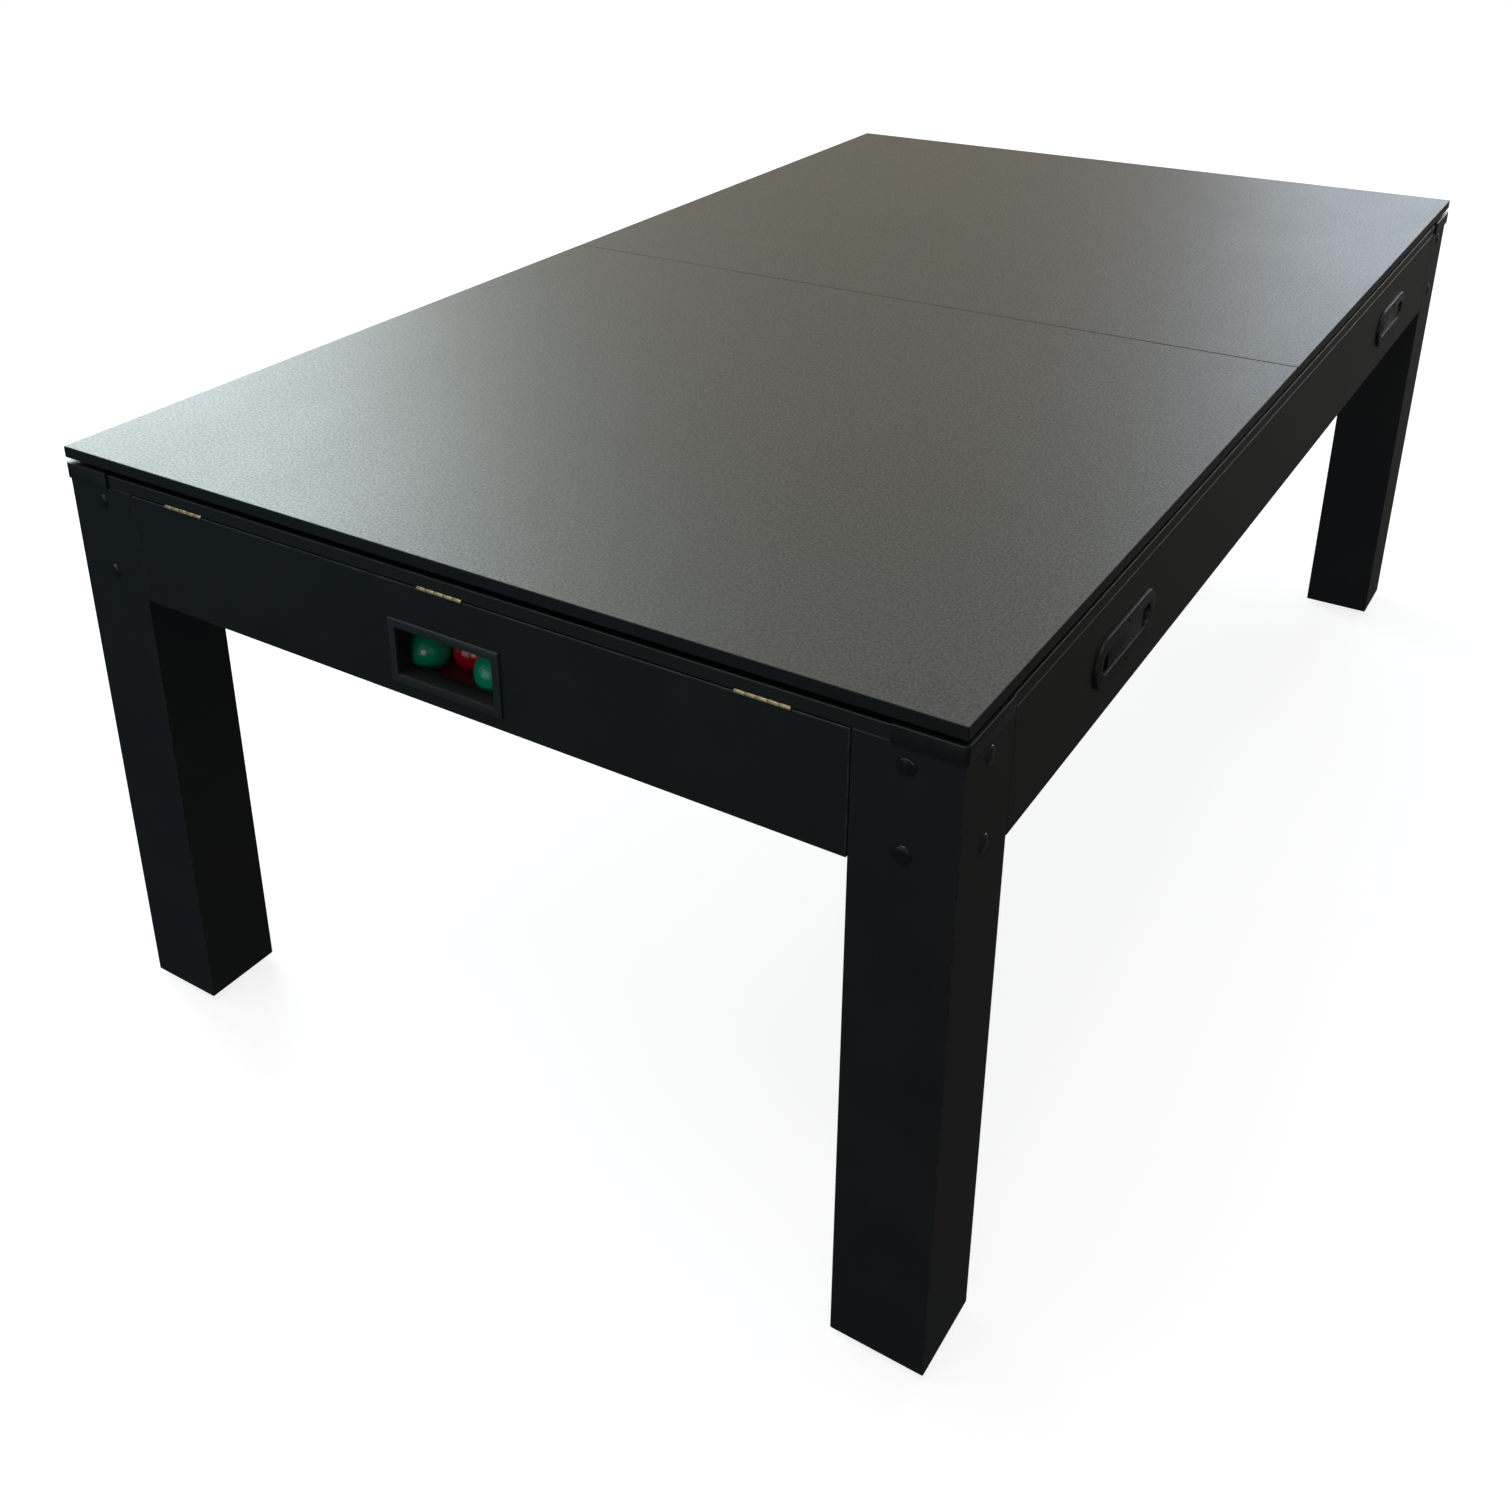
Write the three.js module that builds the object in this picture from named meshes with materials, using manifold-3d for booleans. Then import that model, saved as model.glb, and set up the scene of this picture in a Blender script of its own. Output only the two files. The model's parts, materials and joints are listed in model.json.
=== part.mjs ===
// A convertible pool table: a lift-off dining top in two halves over a pool bed with six pockets,
// sloping ball runners, a collecting trough behind a hinged end flap, and four square legs.
//
// Millimetres. The origin is on the floor under the middle of the table, X across the width,
// Y along the length with the flap end at -Y, and Z up.

import * as THREE from 'three';
import { mergeVertices } from 'three/addons/utils/BufferGeometryUtils.js';
import Module from 'manifold-3d';

const wasm = await Module();
wasm.setup();

// ---- Driving dimensions ------------------------------------------------------------------

const WIDTH = 1200;              // body, across X
const LENGTH = 2130;             // body, along Y
const LEG = 112;                 // square leg, and the width of its face
const FOOT = 8;                  // clear height under a leg
const APRON_BOTTOM = 634;        // underside of the aprons and of the end flap
const RAIL_UNDER = 778;          // underside of the rail boards
const RAIL_TOP = 794;
const PAD = 8;                   // felt strip under the dining top
const TOP_THICK = 15;            // dining top board
const TOP_PROUD = 1.5;           // dining top beyond the body, on every side
const TOP_SEAM = 1.5;            // gap between the two halves
const BOARD = 18;                // apron, flap and cross boards
const LEG_WALL = 20;             // wall of a leg's upper corner
const EASE = 0.8;                // eased edge of every board
const CLEARANCE = 0.3;           // between neighbouring pieces

const RAIL_WIDE = 95;
const CUSHION = 35;              // cushion, from the rail to its nose
const BED_TOP = 754;
const BED_THICK = 18;
const POCKET = 51.5;             // outer radius of a pocket liner
const LINER_WALL = 4.5;
const BED_SLACK = 4;             // round a liner, where it passes through the bed
const POCKET_X = 485;            // corner pocket centres
const POCKET_Y = 955;
const MIDDLE_X = 505;            // middle pocket centres
const BALL = 28.6;               // radius of a ball
const CORNER_MOUTH = 78;         // a corner pocket's mouth, from the crossing of the nose lines
const CORNER_BACK = 38;          // how far a mitred cushion end stands back at the rail
const MIDDLE_MOUTH = 60;         // half of a middle pocket's mouth, at the noses
const CROSS_BOARD_Y = 350;

const RUNNER_X = 495;            // centre line of a runner
const RUNNER_WIDE = 76;
const RUNNER_WALL = 3;
const RUNNER_DEEP = 37;
const RUNNER_NEAR = -960;
const RUNNER_FAR = 1010;
const RUNNER_LOW = 642;          // underside at the near end
const RUNNER_FALL = 27;          // how much higher the far end is
const TROUGH_LIP = 660;
const TROUGH_HIGH = 698;
const TROUGH_WALL = 3;
const BALL_SPOTS = { green_left: [-74, -1011], red: [-22.5, -985], green_right: [29, -1011] };

const FLAP_TOP = 775.5;
const FLAP_GAP = 1.6;            // each side of the flap
const HINGE_X = [-395, 0, 395];
const HINGE_Y = -1064.5;
const HINGE_Z = 777;
const HINGE_LONG = 62;
const HINGE_KNUCKLE = 3.5;
const HINGE_PIN = 1.2;
const KNUCKLES = 5;
const LEAF = 1.5;

const WINDOW = { wide: 135, tall: 59, z: 690.5, flangeWide: 155, flangeTall: 80, proud: 3 };

const HANDLE = { y: 647, z: 706, long: 184, tall: 60, proud: 4.4 };
const PAN = { long: 150, tall: 28, deep: 22, wall: 2 };
const GRIP = { long: 108, tall: 22, thick: 5, rod: 2.5, drop: 4, x: 600 };

// A levelling foot: the radii of its pad, hub and stud, and the heights of its edge, collar and stud.
const LEVELLER = { pad: 22.5, hub: 13, stud: 5, edge: 3.5, collar: 7, tall: 38 };

const CAP = { short: 75, long: 105, proud: 3, under: 776, top: 796.5, flange: 30, round: 7 };

// ---- Materials ---------------------------------------------------------------------------

const finish = (color, roughness, metalness = 0) =>
  new THREE.MeshStandardMaterial({ color, roughness, metalness });
const charcoal = finish(0x33332f, 0.5);
const black = finish(0x141716, 0.45);
const plastic = finish(0x0e0f10, 0.4);
const framePlastic = finish(0x1d1f20, 0.45);
const felt = finish(0x0a0a0a, 0.95);
const cloth = finish(0x0b4a33, 0.95);
const rawBoard = finish(0x6b5638, 0.85);
const brass = finish(0x8f7c52, 0.35, 1);
const darkMetal = finish(0x17181a, 0.4, 0.6);
const greenBall = finish(0x00402a, 0.15);
const redBall = finish(0x5a0008, 0.15);

// ---- Solids ------------------------------------------------------------------------------

// A closed three.js geometry as a solid that can be joined and cut.
function solid(geometry) {
  const bare = geometry.clone();
  bare.deleteAttribute('normal');
  bare.deleteAttribute('uv');
  const merged = mergeVertices(bare, 1e-4);
  return new wasm.Manifold(new wasm.Mesh({
    numProp: 3,
    vertProperties: new Float32Array(merged.attributes.position.array),
    triVerts: new Uint32Array(merged.index.array),
  }));
}

function geometryOf(body) {
  const mesh = body.getMesh();
  const geometry = new THREE.BufferGeometry();
  geometry.setAttribute('position', new THREE.BufferAttribute(new Float32Array(mesh.vertProperties), 3));
  geometry.setIndex(new THREE.BufferAttribute(new Uint32Array(mesh.triVerts), 1));
  return geometry;
}

const join = (...parts) => geometryOf(parts.map(solid).reduce((a, b) => a.add(b)));
const cut = (base, ...tools) => geometryOf(tools.map(solid).reduce((a, b) => a.subtract(b), solid(base)));
const meet = (a, b) => geometryOf(solid(a).intersect(solid(b)));

// Turns a geometry into its mirror image where a sign is -1.
function mirrored(geometry, signX, signY) {
  const copy = mergeVertices(geometry.clone(), 1e-4);
  copy.scale(signX, signY, 1);
  if (signX * signY < 0) {
    const index = copy.index.array;
    for (let i = 0; i < index.length; i += 3) {
      [index[i], index[i + 1]] = [index[i + 1], index[i]];
    }
  }
  return copy;
}

// Ranges are [low, high].
function box([x0, x1], [y0, y1], [z0, z1]) {
  return new THREE.BoxGeometry(x1 - x0, y1 - y0, z1 - z0)
    .translate((x0 + x1) / 2, (y0 + y1) / 2, (z0 + z1) / 2);
}

// A box whose edges are all eased by a small flat.
function board([x0, x1], [y0, y1], [z0, z1], ease = EASE) {
  const outline = new THREE.Shape([
    [x0 + ease, y0], [x1 - ease, y0], [x1, y0 + ease], [x1, y1 - ease],
    [x1 - ease, y1], [x0 + ease, y1], [x0, y1 - ease], [x0, y0 + ease],
  ].map(([x, y]) => new THREE.Vector2(x, y)));
  return new THREE.ExtrudeGeometry(outline, {
    depth: z1 - z0 - 2 * ease,
    bevelEnabled: true,
    bevelThickness: ease,
    bevelSize: ease,
    bevelOffset: -ease,
    bevelSegments: 1,
  }).translate(0, 0, z0 + ease);
}

const outlineOf = (points) => new THREE.Shape(points.map(([a, b]) => new THREE.Vector2(a, b)));

// An outline in X and Y, raised along Z.
function prismZ(shape, [z0, z1], curveSegments = 8) {
  return new THREE.ExtrudeGeometry(shape, { depth: z1 - z0, bevelEnabled: false, curveSegments })
    .translate(0, 0, z0);
}

// An outline in Y and Z, drawn out along X.
function prismX(shape, [x0, x1], curveSegments = 8) {
  const turn = new THREE.Matrix4().makeBasis(
    new THREE.Vector3(0, 1, 0), new THREE.Vector3(0, 0, 1), new THREE.Vector3(1, 0, 0));
  return prismZ(shape, [x0, x1], curveSegments).applyMatrix4(turn);
}

// An outline in X and Z, drawn out along Y.
function prismY(shape, [y0, y1], curveSegments = 8) {
  const turn = new THREE.Matrix4().makeBasis(
    new THREE.Vector3(1, 0, 0), new THREE.Vector3(0, 0, 1), new THREE.Vector3(0, -1, 0));
  return prismZ(shape, [-y1, -y0], curveSegments).applyMatrix4(turn);
}

function roundX(radius, [x0, x1], y, z, sides = 16) {
  return new THREE.CylinderGeometry(radius, radius, x1 - x0, sides).rotateZ(Math.PI / 2)
    .translate((x0 + x1) / 2, y, z);
}

function roundY(radius, x, [y0, y1], z, sides = 16) {
  return new THREE.CylinderGeometry(radius, radius, y1 - y0, sides).translate(x, (y0 + y1) / 2, z);
}

function roundZ(radius, x, y, [z0, z1], sides = 32) {
  return new THREE.CylinderGeometry(radius, radius, z1 - z0, sides).rotateX(Math.PI / 2)
    .translate(x, y, (z0 + z1) / 2);
}

// A slot with round ends, in two axes: `long` along the first and `tall` along the second.
function stadium(a, b, long, tall) {
  const reach = long / 2 - tall / 2;
  const shape = new THREE.Shape();
  shape.moveTo(a - reach, b - tall / 2);
  shape.lineTo(a + reach, b - tall / 2);
  shape.absarc(a + reach, b, tall / 2, -Math.PI / 2, Math.PI / 2, false);
  shape.lineTo(a - reach, b + tall / 2);
  shape.absarc(a - reach, b, tall / 2, Math.PI / 2, Math.PI * 1.5, false);
  return shape;
}

const table = new THREE.Group();
function add(name, geometry, material) {
  const mesh = new THREE.Mesh(geometry, material);
  mesh.name = name;
  table.add(mesh);
}

// ---- Places worked out from the driving dimensions ---------------------------------------

const X = WIDTH / 2;
const Y = LENGTH / 2;
const RAIL_X = X - RAIL_WIDE;
const RAIL_Y = Y - RAIL_WIDE;
const BED_UNDER = BED_TOP - BED_THICK;
const TOP_UNDER = RAIL_TOP + PAD;
const CLEAT = { deep: 24, tall: 25 };
const SIDES = [['left', -1], ['right', 1]];
const ENDS = [['near', -1], ['far', 1]];
const POCKETS = [
  ['near_left', -POCKET_X, -POCKET_Y], ['near_right', POCKET_X, -POCKET_Y],
  ['middle_left', -MIDDLE_X, 0], ['middle_right', MIDDLE_X, 0],
  ['far_left', -POCKET_X, POCKET_Y], ['far_right', POCKET_X, POCKET_Y],
];
const pocketHoles = (z, slack = 0.5) => POCKETS.map(([, x, y]) => roundZ(POCKET + slack, x, y, z));

// Underside of a runner at a place along the table.
const runnerAt = (y) => RUNNER_LOW + RUNNER_FALL * (y - RUNNER_NEAR) / (RUNNER_FAR - RUNNER_NEAR);

// ---- Dining top --------------------------------------------------------------------------

for (const [end, sign] of ENDS) {
  const half = [TOP_SEAM / 2, Y + TOP_PROUD];
  const panel = board([-X - TOP_PROUD, X + TOP_PROUD], half, [TOP_UNDER, TOP_UNDER + TOP_THICK]);
  add(`top_panel_${end}`, mirrored(panel, 1, sign), charcoal);

  // A U of felt, set in from the edge and resting on the rails.
  const strip = 25;
  const outer = [X - 30, Y - 30];
  const pad = cut(
    box([-outer[0], outer[0]], [20, outer[1]], [RAIL_TOP, TOP_UNDER]),
    box([strip - outer[0], outer[0] - strip], [0, outer[1] - strip], [RAIL_TOP - 1, TOP_UNDER + 1]));
  add(`top_pad_${end}`, mirrored(pad, 1, sign), felt);
}

// ---- Rails, corner guards and cushions ---------------------------------------------------

const railZ = [RAIL_UNDER, RAIL_TOP];
const throughRail = [RAIL_UNDER - 2, RAIL_TOP + 2];

// Housings for the hinge knuckles, along the lower front edge of the near rail.
const hingeHousing = (slack) => HINGE_X.map((x) =>
  roundX(HINGE_KNUCKLE + slack, [x - HINGE_LONG / 2 - slack, x + HINGE_LONG / 2 + slack], HINGE_Y, HINGE_Z));

for (const [end, sign] of ENDS) {
  const y = sign < 0 ? [-Y, -RAIL_Y] : [RAIL_Y, Y];
  const housings = sign < 0 ? hingeHousing(0.5) : [];
  const rail = cut(board([-X, X], y, railZ), ...pocketHoles(throughRail), ...housings);
  add(`rail_${end}`, rail, black);
}
for (const [side, sign] of SIDES) {
  const reach = RAIL_Y - CLEARANCE;
  const rail = cut(board([RAIL_X, X], [-reach, reach], railZ), ...pocketHoles(throughRail));
  add(`rail_${side}`, mirrored(rail, sign, 1), black);
}

// A moulded guard over a rail corner: two sides and a narrow top flange, round at the corner.
function cornerGuard() {
  const outX = X + CAP.proud;
  const outY = Y + CAP.proud;
  const angle = (inX, inY) => {
    const shape = new THREE.Shape();
    shape.moveTo(outX - CAP.short, outY);
    shape.lineTo(outX - CAP.short, inY);
    shape.lineTo(inX, inY);
    shape.lineTo(inX, outY - CAP.long);
    shape.lineTo(outX, outY - CAP.long);
    shape.lineTo(outX, outY - CAP.round);
    shape.absarc(outX - CAP.round, outY - CAP.round, CAP.round, 0, Math.PI / 2, false);
    return shape;
  };
  const sides = prismZ(angle(X + CLEARANCE, Y + CLEARANCE), [CAP.under, CAP.top - 1], 5);
  const flange = prismZ(angle(outX - CAP.flange, outY - CAP.flange), [RAIL_TOP + CLEARANCE, CAP.top], 5);
  return join(sides, flange);
}
const guard = cornerGuard();
for (const [end, signY] of ENDS) {
  for (const [side, signX] of SIDES) {
    add(`corner_guard_${end}_${side}`, mirrored(guard, signX, signY), plastic);
  }
}

// The section of a cushion, as steps from its back towards its nose and down from the rail's top.
const cushionSection = (back, toNose) => outlineOf([
  [0, 38], [17, 38], [23, 24], [CUSHION - 1, 8], [CUSHION, 5.5], [CUSHION - 1, 3], [22, 0.8], [0, 0],
].map(([step, down]) => [back + toNose * step, RAIL_TOP - down]));

const noseX = RAIL_X - CUSHION;
const noseY = RAIL_Y - CUSHION;
{
  const back = RAIL_Y - CLEARANCE;
  const run = prismX(cushionSection(back, -1), [-X, X]);
  const footprint = outlineOf([
    [noseX - CORNER_MOUTH, noseY], [noseX - CORNER_BACK, back],
    [CORNER_BACK - noseX, back], [CORNER_MOUTH - noseX, noseY],
  ]);
  const cushion = meet(run, prismZ(footprint, [BED_TOP, RAIL_TOP + 1]));
  for (const [end, sign] of ENDS) {
    add(`cushion_${end}`, mirrored(cushion, 1, sign), cloth);
  }
}
{
  const back = RAIL_X - CLEARANCE;
  const run = prismY(cushionSection(back, -1), [0, Y]);
  const footprint = outlineOf([
    [noseX, MIDDLE_MOUTH], [back, MIDDLE_MOUTH - 6],
    [back, noseY - CORNER_BACK], [noseX, noseY - CORNER_MOUTH],
  ]);
  const middle = roundZ(POCKET + 1, MIDDLE_X, 0, [BED_TOP - 1, RAIL_TOP + 1]);
  const cushion = cut(meet(run, prismZ(footprint, [BED_TOP, RAIL_TOP + 1])), middle);
  for (const [end, signY] of ENDS) {
    for (const [side, signX] of SIDES) {
      add(`cushion_${side}_${end}`, mirrored(cushion, signX, signY), cloth);
    }
  }
}

// ---- Bed and pockets ---------------------------------------------------------------------

const bedX = X - LEG_WALL - 2;
const bedY = Y - LEG_WALL - 2;
add('bed_board', cut(
  box([-bedX, bedX], [-bedY, bedY], [BED_UNDER, BED_TOP]),
  ...pocketHoles([BED_UNDER - 1, BED_TOP + 1], BED_SLACK)), rawBoard);

for (const [name, x, y] of POCKETS) {
  const z = [BED_UNDER - 2, RAIL_TOP - 2];
  const tube = cut(roundZ(POCKET, x, y, z), roundZ(POCKET - LINER_WALL, x, y, [z[0] - 1, z[1] + 1]));
  // The wall is open above the bed on the side that faces the playing field.
  const mouth = box([-POCKET - 1, POCKET + 1], [-2 * POCKET, -8], [BED_TOP - 2, RAIL_TOP])
    .rotateZ(Math.atan2(-Math.sign(x), Math.sign(y)))
    .translate(x, y, 0);
  add(`pocket_${name}`, cut(tube, mouth), plastic);
}

// ---- Aprons, far end panel and cross boards ----------------------------------------------

const betweenLegs = Y - LEG - CLEARANCE;
{
  const inner = X - BOARD;
  const panel = board([inner, X], [-betweenLegs, betweenLegs], [APRON_BOTTOM, RAIL_UNDER]);
  const cleat = box([inner - CLEAT.deep, inner + 1], [-betweenLegs + 1, betweenLegs - 1],
    [BED_UNDER - CLEAT.tall, BED_UNDER]);
  const openings = ENDS.map(([, sign]) =>
    prismX(stadium(sign * HANDLE.y, HANDLE.z, PAN.long + 2 * PAN.wall + 1, PAN.tall + 2 * PAN.wall + 1),
      [inner - 1, X + 1]));
  const reliefs = ENDS.map(([, sign]) => box(
    [inner - CLEAT.deep - 1, inner],
    [sign * HANDLE.y - HANDLE.long / 2, sign * HANDLE.y + HANDLE.long / 2],
    [BED_UNDER - CLEAT.tall - 1, BED_UNDER + 1]));
  const apron = cut(join(panel, cleat), ...openings, ...reliefs);
  for (const [side, sign] of SIDES) {
    add(`side_apron_${side}`, mirrored(apron, sign, 1), black);
  }
}
{
  const inner = Y - BOARD;
  const reach = X - LEG - CLEARANCE;
  const panel = board([-reach, reach], [inner, Y], [APRON_BOTTOM, RAIL_UNDER]);
  const cleat = box([1 - reach, reach - 1], [inner - CLEAT.deep, inner + 1],
    [BED_UNDER - CLEAT.tall, BED_UNDER]);
  add('end_panel_far', join(panel, cleat), black);
}

// Two boards on edge carry the bed and the runners, which pass through them.
for (const [end, sign] of ENDS) {
  const y = sign * CROSS_BOARD_Y;
  const reach = X - BOARD - CLEARANCE;
  const across = [y - BOARD / 2, y + BOARD / 2];
  const through = [across[0] - 1, across[1] + 1];
  const low = runnerAt(y);
  const clearWide = RUNNER_WIDE / 2 + 2.5;
  const clearTall = RUNNER_WALL + 2 * BALL + 3;
  const holes = [-1, 1].map((side) => box(
    [side * RUNNER_X - clearWide, side * RUNNER_X + clearWide], through, [low - 0.8, low + clearTall]));
  const notches = [[-reach - 1, CLEAT.deep - reach], [reach - CLEAT.deep, reach + 1]].map((x) =>
    box(x, through, [BED_UNDER - CLEAT.tall - CLEARANCE, BED_UNDER + 1]));
  add(`cross_board_${end}`, cut(box([-reach, reach], across, [APRON_BOTTOM + 4, BED_UNDER]),
    ...holes, ...notches), black);
}

// ---- Ball runners and trough -------------------------------------------------------------

{
  const wide = RUNNER_WIDE / 2;
  const channel = cut(
    box([RUNNER_X - wide, RUNNER_X + wide], [RUNNER_NEAR, RUNNER_FAR], [0, RUNNER_DEEP]),
    box([RUNNER_X - wide + RUNNER_WALL, RUNNER_X + wide - RUNNER_WALL],
      [RUNNER_NEAR - 1, RUNNER_FAR - RUNNER_WALL], [RUNNER_WALL, RUNNER_DEEP + 1]));
  const slope = RUNNER_FALL / (RUNNER_FAR - RUNNER_NEAR);
  const lean = new THREE.Matrix4().set(
    1, 0, 0, 0,
    0, 1, 0, 0,
    0, slope, 1, RUNNER_LOW - slope * RUNNER_NEAR,
    0, 0, 0, 1);
  channel.applyMatrix4(lean);
  for (const [side, sign] of SIDES) {
    add(`ball_runner_${side}`, mirrored(channel, sign, 1), plastic);
  }
}
{
  const x = X - LEG_WALL - 5;
  const front = -(Y - LEG_WALL - 2);
  const rear = -(Y - LEG);
  const wall = TROUGH_WALL;
  const floor = APRON_BOTTOM + wall;
  const high = TROUGH_HIGH;
  const inside = box([wall - x, x - wall], [front + wall, rear - wall], [floor, high + 1]);
  const aboveLip = box([-x - 1, x + 1], [front - 1, rear - wall], [TROUGH_LIP, high + 1]);
  const gates = [-1, 1].map((side) => box(
    [side * RUNNER_X - RUNNER_WIDE / 2 - 1, side * RUNNER_X + RUNNER_WIDE / 2 + 1],
    [rear - wall - 1, rear + 1], [RUNNER_LOW - 1, high + 1]));
  add('ball_trough', cut(box([-x, x], [front, rear], [APRON_BOTTOM, high]), inside, aboveLip, ...gates),
    plastic);
}

// Balls that lie in the trough behind the window.
for (const [name, [x, y]] of Object.entries(BALL_SPOTS)) {
  const ball = new THREE.SphereGeometry(BALL - CLEARANCE, 20, 12).rotateX(Math.PI / 2);
  const material = name === 'red' ? redBall : greenBall;
  add(`ball_${name}`, ball.translate(x, y, APRON_BOTTOM + TROUGH_WALL + BALL), material);
}

// ---- Hinged end flap with its window -----------------------------------------------------

const flapY = [-Y, -Y + BOARD];
{
  const reach = X - LEG - FLAP_GAP;
  const panel = board([-reach, reach], flapY, [APRON_BOTTOM, FLAP_TOP]);
  const opening = box([-WINDOW.wide / 2 - 3, WINDOW.wide / 2 + 3], [flapY[0] - 1, flapY[1] + 1],
    [WINDOW.z - WINDOW.tall / 2 - 3, WINDOW.z + WINDOW.tall / 2 + 3]);
  const mortises = HINGE_X.map((x) => box(
    [x - HINGE_LONG / 2 - 0.5, x + HINGE_LONG / 2 + 0.5], [flapY[0] - 1, flapY[1] + 1],
    [FLAP_TOP - LEAF - CLEARANCE, FLAP_TOP + 1]));
  add('end_flap', cut(panel, opening, ...mortises, ...hingeHousing(0.5)), black);
}
{
  // A flange on the front face and a sleeve through the flap.
  const { wide, tall, z, flangeWide, flangeTall, proud } = WINDOW;
  const ring = (w, t) => outlineOf([
    [-w / 2, z - t / 2], [w / 2, z - t / 2], [w / 2, z + t / 2], [-w / 2, z + t / 2],
  ]);
  const flange = new THREE.ExtrudeGeometry(ring(flangeWide, flangeTall), {
    depth: proud - 1.2,
    bevelEnabled: true,
    bevelThickness: 1.2,
    bevelSize: 1.2,
    bevelOffset: -1.2,
    bevelSegments: 2,
  });
  flange.applyMatrix4(new THREE.Matrix4().makeBasis(
    new THREE.Vector3(1, 0, 0), new THREE.Vector3(0, 0, 1), new THREE.Vector3(0, -1, 0)));
  flange.translate(0, flapY[0], 0);
  const sleeve = prismY(ring(wide + 4.5, tall + 4.5), [flapY[0] - 1, flapY[1] + 0.5]);
  const back = box([-flangeWide, flangeWide], [flapY[0], flapY[0] + 5],
    [z - flangeTall, z + flangeTall]);
  const hole = prismY(ring(wide, tall), [flapY[0] - 10, flapY[1] + 10]);
  add('window_frame', cut(join(cut(flange, back), sleeve), hole), framePlastic);
}

// ---- Butt hinges -------------------------------------------------------------------------

HINGE_X.forEach((centre, i) => {
  const place = ['left', 'middle', 'right'][i];
  const start = centre - HINGE_LONG / 2;
  const step = HINGE_LONG / KNUCKLES;
  const knuckle = (k, radius, slack) =>
    roundX(radius, [start + k * step + slack, start + (k + 1) * step - slack], HINGE_Y, HINGE_Z);
  const fixed = [0, 2, 4];
  const moving = [1, 3];
  const space = HINGE_KNUCKLE + 0.4;
  const x = [start + 0.3, start + HINGE_LONG - 0.3];

  const fixedLeaf = box(x, [HINGE_Y, HINGE_Y + 24], [RAIL_UNDER - LEAF, RAIL_UNDER]);
  const pin = roundX(HINGE_PIN, [start + 0.6, start + HINGE_LONG - 0.6], HINGE_Y, HINGE_Z, 12);
  add(`hinge_fixed_${place}`, join(
    cut(fixedLeaf, ...moving.map((k) => knuckle(k, space, 0))),
    ...fixed.map((k) => knuckle(k, HINGE_KNUCKLE, 0.25)),
    pin), brass);

  const movingLeaf = box(x, [HINGE_Y, flapY[1] - 0.5], [FLAP_TOP - LEAF, FLAP_TOP]);
  add(`hinge_leaf_${place}`, cut(
    join(movingLeaf, ...moving.map((k) => knuckle(k, HINGE_KNUCKLE, 0.25))),
    ...fixed.map((k) => knuckle(k, space, 0)),
    roundX(HINGE_PIN + 0.4, [start - 1, start + HINGE_LONG + 1], HINGE_Y, HINGE_Z, 12)), brass);
});

// ---- Legs and levelling feet -------------------------------------------------------------

{
  const post = board([X - LEG, X], [Y - LEG, Y], [FOOT, RAIL_UNDER], 1.2);
  const corner = box([X - LEG - 1, X - LEG_WALL], [Y - LEG - 1, Y - LEG_WALL],
    [APRON_BOTTOM, RAIL_UNDER + 1]);
  const centre = [X - LEG / 2, Y - LEG / 2];
  const bore = roundZ(LEVELLER.stud + 0.5, ...centre, [FOOT - 1, LEVELLER.tall + 6], 16);
  const leg = cut(post, corner, bore);
  const { pad, edge, hub, stud, tall, collar } = LEVELLER;
  const foot = new THREE.LatheGeometry(outlineOf([
    [0, 0], [pad - 1, 0], [pad, 1], [pad, edge], [hub, collar], [stud, collar], [stud, tall], [0, tall],
  ]).getPoints(), 24).rotateX(Math.PI / 2).translate(...centre, 0);
  for (const [end, signY] of ENDS) {
    for (const [side, signX] of SIDES) {
      add(`leg_${end}_${side}`, mirrored(leg, signX, signY), black);
      add(`foot_${end}_${side}`, mirrored(foot, signX, signY), plastic);
    }
  }
}

// ---- Flush handles on the long sides -----------------------------------------------------

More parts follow.
